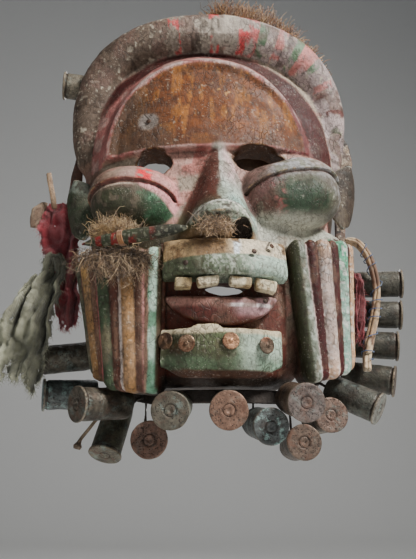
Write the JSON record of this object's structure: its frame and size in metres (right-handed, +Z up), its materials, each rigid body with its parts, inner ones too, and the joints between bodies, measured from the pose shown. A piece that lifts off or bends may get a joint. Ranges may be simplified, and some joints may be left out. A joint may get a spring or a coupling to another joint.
{
  "type": "carved dance mask",
  "caption": "Carved and painted wooden face mask with hooded eyes, fluted cheeks, nailed lip and chin blocks, rags, fibre, and a swinging beard of brass cups round the jaw.",
  "frame": {"origin": "middle of the open back, in the plane of the flat back rim, level with the base of the nose", "axes": "+Z up as worn, the face looks along -Y, +X towards the viewer's right"},
  "size_m": [0.3036, 0.1088, 0.3768],
  "materials": {
    "painted_wood": "worn green, pink and ochre paint on carved wood",
    "lip_paint": "worn pink and red-brown paint on wood",
    "tooth_wood": "bare grey-cream wood",
    "shell_brass": "tarnished, pitted brass",
    "disc_copper": "dull reddish copper",
    "nail_iron": "rusted iron",
    "plant_fibre": "coarse golden plant fibre",
    "cane": "split cane",
    "blue_thread": "faded blue thread",
    "red_cloth": "faded red cloth",
    "green_canvas": "frayed olive canvas",
    "brown_leather": "dry brown hide",
    "dark_leather": "dark old leather"
  },
  "bodies": {
    "root": {"face_carving": "painted_wood", "upper_lip_block": "painted_wood", "chin_block": "painted_wood", "ear_left": "painted_wood", "ear_right": "painted_wood", "nose_stick": "painted_wood", "lower_lip": "lip_paint", "tooth_1": "tooth_wood", "chin_disc_1": "disc_copper", "tooth_2": "tooth_wood", "chin_disc_2": "disc_copper", "tooth_3": "tooth_wood", "chin_disc_3": "disc_copper", "tooth_4": "tooth_wood", "chin_disc_4": "disc_copper", "nail_1": "nail_iron", "nail_2": "nail_iron", "nail_3": "nail_iron", "nail_4": "nail_iron", "nail_5": "nail_iron", "tuft_upper": "plant_fibre", "tuft_lower": "plant_fibre", "crown_fibre": "plant_fibre", "stick_thread": "plant_fibre", "crown_shell": "shell_brass", "jaw_strap": "dark_leather", "cane_hoop": "cane", "cane_lashing": "blue_thread", "green_cloth": "green_canvas", "red_cloth_left": "red_cloth", "red_cloth_right": "red_cloth", "edge_leather": "brown_leather", "leather_tab": "brown_leather", "leather_curl": "brown_leather", "hide_flap": "brown_leather", "brow_lining": "brown_leather", "hanging_lace": "brown_leather"},
    "shell_01": {"shell_01": "shell_brass"},
    "shell_02": {"shell_02": "shell_brass"},
    "shell_03": {"shell_03": "shell_brass"},
    "shell_04": {"shell_04": "shell_brass"},
    "shell_05": {"shell_05": "shell_brass"},
    "shell_06": {"shell_06": "shell_brass"},
    "shell_07": {"shell_07": "shell_brass"},
    "shell_08": {"shell_08": "shell_brass"},
    "shell_09": {"shell_09": "shell_brass"},
    "shell_10": {"shell_10": "shell_brass"},
    "shell_11": {"shell_11": "shell_brass"},
    "shell_12": {"shell_12": "shell_brass"},
    "shell_13": {"shell_13": "shell_brass"},
    "shell_14": {"shell_14": "shell_brass"},
    "shell_15": {"shell_15": "shell_brass"},
    "shell_16": {"shell_16": "shell_brass"}
  },
  "joints": [
    {"name": "shell_01_swing", "type": "hinge", "parent": "root", "child": "shell_01", "pos_m": [0.112, -0.013, 0], "axis": [-0.0335, 0.0096, -0.9994], "range_deg": [-17, 4]},
    {"name": "shell_02_swing", "type": "hinge", "parent": "root", "child": "shell_02", "pos_m": [0.109, -0.013, -0.0235], "axis": [-0.0671, 0.0192, -0.9976], "range_deg": [-17, 2]},
    {"name": "shell_03_swing", "type": "hinge", "parent": "root", "child": "shell_03", "pos_m": [0.104, -0.013, -0.047], "axis": [-0.0833, 0.0255, -0.9962], "range_deg": [-18, 11]},
    {"name": "shell_04_swing", "type": "hinge", "parent": "root", "child": "shell_04", "pos_m": [0.099, -0.014, -0.0705], "axis": [-0.1561, 0.0761, -0.9848], "range_deg": [-18, 14]},
    {"name": "shell_05_swing", "type": "hinge", "parent": "root", "child": "shell_05", "pos_m": [0.082, -0.033, -0.082], "axis": [0.5878, 0.809, 0], "range_deg": [-15, 15]},
    {"name": "shell_06_swing", "type": "hinge", "parent": "root", "child": "shell_06", "pos_m": [0.073, -0.024, -0.104], "axis": [0.9994, 0.0349, 0], "range_deg": [-10, 6]},
    {"name": "shell_07_swing", "type": "hinge", "parent": "root", "child": "shell_07", "pos_m": [0.057, -0.024, -0.1215], "axis": [0.9994, -0.0349, 0], "range_deg": [-8, 15]},
    {"name": "shell_08_swing", "type": "hinge", "parent": "root", "child": "shell_08", "pos_m": [0.047, -0.064, -0.091], "axis": [0.9994, 0.0349, 0], "range_deg": [-15, 7]},
    {"name": "shell_09_swing", "type": "hinge", "parent": "root", "child": "shell_09", "pos_m": [0.028, -0.043, -0.106], "axis": [0.9962, 0.0872, 0], "range_deg": [-2, 15]},
    {"name": "shell_10_swing", "type": "hinge", "parent": "root", "child": "shell_10", "pos_m": [0.006, -0.064, -0.096], "axis": [0.9976, -0.0698, 0], "range_deg": [-15, 15]},
    {"name": "shell_11_swing", "type": "hinge", "parent": "root", "child": "shell_11", "pos_m": [-0.026, -0.056, -0.096], "axis": [0.9945, -0.1045, 0], "range_deg": [-14, 7]},
    {"name": "shell_12_swing", "type": "hinge", "parent": "root", "child": "shell_12", "pos_m": [-0.046, -0.036, -0.117], "axis": [0.9945, 0.1045, 0], "range_deg": [-3, 15]},
    {"name": "shell_13_swing", "type": "hinge", "parent": "root", "child": "shell_13", "pos_m": [-0.066, -0.015, -0.095], "axis": [0.9397, -0.342, 0], "range_deg": [-11, 15]},
    {"name": "shell_14_swing", "type": "hinge", "parent": "root", "child": "shell_14", "pos_m": [-0.059, -0.043, -0.094], "axis": [0.6428, -0.766, 0], "range_deg": [-14, 15]},
    {"name": "shell_15_swing", "type": "hinge", "parent": "root", "child": "shell_15", "pos_m": [-0.083, -0.013, -0.086], "axis": [0.0335, 0.0096, -0.9994], "range_deg": [-15, 15]},
    {"name": "shell_16_swing", "type": "hinge", "parent": "root", "child": "shell_16", "pos_m": [-0.088, -0.013, -0.058], "axis": [0.1361, 0.0289, -0.9903], "range_deg": [-4, 13]}
  ]
}
